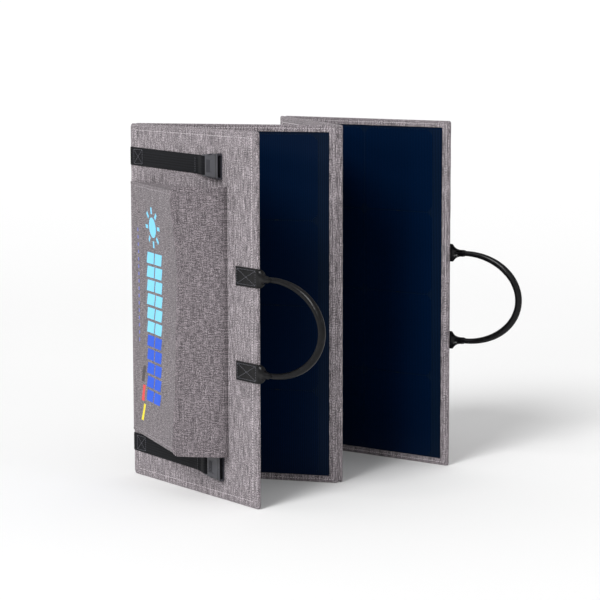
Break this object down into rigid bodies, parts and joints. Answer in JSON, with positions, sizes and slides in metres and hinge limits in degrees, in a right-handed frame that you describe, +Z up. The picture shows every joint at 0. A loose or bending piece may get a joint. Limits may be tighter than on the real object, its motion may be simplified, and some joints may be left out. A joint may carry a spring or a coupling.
{
  "type": "folding solar suitcase",
  "caption": "Folding solar suitcase: fabric-covered cell panels on sewn folds, standing half open, with a flap pouch, buckled straps and rolled carry handles.",
  "frame": {"origin": "middle of panel 1's lower edge, on the panel's mid-plane", "axes": "+X along panel 1 to its free edge, +Y from panel 1's outer fabric face to its cell face, +Z up along the folds"},
  "size_m": [0.4781, 0.5192, 0.53],
  "materials": {
    "grey_fabric": "heather woven polyester, matt",
    "fibre_board": "hard pressed board",
    "laminate_film": "textured clear film over a dark backing",
    "solar_cells": "dark blue monocrystalline silicon under film",
    "tinned_ribbon": "tinned copper",
    "lead_sheath": "matt",
    "black_webbing": "woven nylon webbing",
    "buckle_plastic": "moulded, fine spark texture",
    "hook_and_loop": "hook and loop tape",
    "box_plastic": "moulded",
    "diode_epoxy": "moulded",
    "handle_leather": "smooth coated leather, edge stitched",
    "rope_core": "twisted cord"
  },
  "bodies": {
    "panel_1": {"panel_1_cover": "grey_fabric", "panel_1_border": "grey_fabric", "panel_1_board": "fibre_board", "panel_1_laminate": "laminate_film", "panel_1_cells": "solar_cells", "panel_1_ribbons": "tinned_ribbon", "fold_a_web": "grey_fabric", "fold_a_lead": "lead_sheath", "strap_1_top": "black_webbing", "socket_top": "buckle_plastic", "strap_1_bottom": "black_webbing", "socket_bottom": "buckle_plastic", "pouch_front": "grey_fabric", "gusset_top": "grey_fabric", "gusset_bottom": "grey_fabric", "flap_seam": "grey_fabric", "loop_tape": "hook_and_loop", "junction_box": "box_plastic", "junction_lid": "box_plastic", "bypass_diodes": "diode_epoxy", "handle_1_tabs": "handle_leather"},
    "panel_2": {"panel_2_cover": "grey_fabric", "panel_2_border": "grey_fabric", "panel_2_board": "fibre_board", "panel_2_laminate": "laminate_film", "panel_2_cells": "solar_cells", "panel_2_ribbons": "tinned_ribbon", "fold_b_web": "grey_fabric", "fold_b_lead": "lead_sheath"},
    "panel_3": {"panel_3_cover": "grey_fabric", "panel_3_border": "grey_fabric", "panel_3_board": "fibre_board", "panel_3_laminate": "laminate_film", "panel_3_cells": "solar_cells", "panel_3_ribbons": "tinned_ribbon", "fold_c_web": "grey_fabric", "fold_c_lead": "lead_sheath"},
    "panel_4": {"panel_4_cover": "grey_fabric", "panel_4_border": "grey_fabric", "panel_4_board": "fibre_board", "panel_4_laminate": "laminate_film", "panel_4_cells": "solar_cells", "panel_4_ribbons": "tinned_ribbon", "strap_4_top": "black_webbing", "strap_4_bottom": "black_webbing", "handle_2_tabs": "handle_leather"},
    "pouch_flap": {"pouch_flap": "grey_fabric", "hook_tape": "hook_and_loop"},
    "handle_1": {"handle_1_grip": "handle_leather", "handle_1_core": "rope_core"},
    "handle_2": {"handle_2_grip": "handle_leather", "handle_2_core": "rope_core"},
    "tail_top": {"tail_top": "black_webbing", "plug_top": "buckle_plastic"},
    "prong_top_upper": {"prong_top_upper": "buckle_plastic"},
    "prong_top_lower": {"prong_top_lower": "buckle_plastic"},
    "tail_bottom": {"tail_bottom": "black_webbing", "plug_bottom": "buckle_plastic"},
    "prong_bottom_upper": {"prong_bottom_upper": "buckle_plastic"},
    "prong_bottom_lower": {"prong_bottom_lower": "buckle_plastic"}
  },
  "joints": [
    {"name": "fold_a", "type": "hinge", "parent": "panel_1", "child": "panel_2", "pos_m": [-0.1575, 0.0031, 0], "axis": [0, 0, 1], "range_deg": [-37.2, 142.8], "deforming": ["fold_a_web", "fold_a_lead"]},
    {"name": "fold_b", "type": "hinge", "parent": "panel_2", "child": "panel_3", "pos_m": [0.08966, 0.19849, 0], "axis": [0, 0, -1], "range_deg": [-58.4, 121.6], "deforming": ["fold_b_web", "fold_b_lead"]},
    {"name": "fold_c", "type": "hinge", "parent": "panel_3", "child": "panel_4", "pos_m": [-0.20178, 0.31818, 0], "axis": [0, 0, 1], "range_deg": [-36.5, 143.5], "deforming": ["fold_c_web", "fold_c_lead"]},
    {"name": "handle_1_swing", "type": "hinge", "parent": "panel_1", "child": "handle_1", "pos_m": [0.1591, -0.0036, 0.26], "axis": [0, 0, 1], "range_deg": [-90, 8]},
    {"name": "handle_2_swing", "type": "hinge", "parent": "panel_4", "child": "handle_2", "pos_m": [0.10183, 0.40818, 0.263], "axis": [0, 0, -1], "range_deg": [-90, 8]},
    {"name": "flap_lift", "type": "hinge", "parent": "panel_1", "child": "pouch_flap", "pos_m": [0.0885, -0.0041, 0.2575], "axis": [0, 0, 1], "range_deg": [0, 85]},
    {"name": "tail_top_swing", "type": "hinge", "parent": "panel_4", "child": "tail_top", "pos_m": [-0.01666, 0.37857, 0.478], "axis": [0, 0, -1], "range_deg": [0, 180]},
    {"name": "tail_bottom_swing", "type": "hinge", "parent": "panel_4", "child": "tail_bottom", "pos_m": [-0.01666, 0.37857, 0.046], "axis": [0, 0, -1], "range_deg": [0, 180]},
    {"name": "prong_top_upper_squeeze", "type": "hinge", "parent": "tail_top", "child": "prong_top_upper", "pos_m": [-0.16515, 0.33929, 0.4892], "axis": [0.2639, -0.9646, 0], "range_deg": [0, 6], "stiffness_Nm_per_rad": 0.02},
    {"name": "prong_top_lower_squeeze", "type": "hinge", "parent": "tail_top", "child": "prong_top_lower", "pos_m": [-0.16515, 0.33929, 0.4668], "axis": [-0.2639, 0.9646, 0], "range_deg": [0, 6], "stiffness_Nm_per_rad": 0.02},
    {"name": "prong_bottom_upper_squeeze", "type": "hinge", "parent": "tail_bottom", "child": "prong_bottom_upper", "pos_m": [-0.16515, 0.33929, 0.0572], "axis": [0.2639, -0.9646, 0], "range_deg": [0, 6], "stiffness_Nm_per_rad": 0.02},
    {"name": "prong_bottom_lower_squeeze", "type": "hinge", "parent": "tail_bottom", "child": "prong_bottom_lower", "pos_m": [-0.16515, 0.33929, 0.0348], "axis": [-0.2639, 0.9646, 0], "range_deg": [0, 6], "stiffness_Nm_per_rad": 0.02}
  ]
}
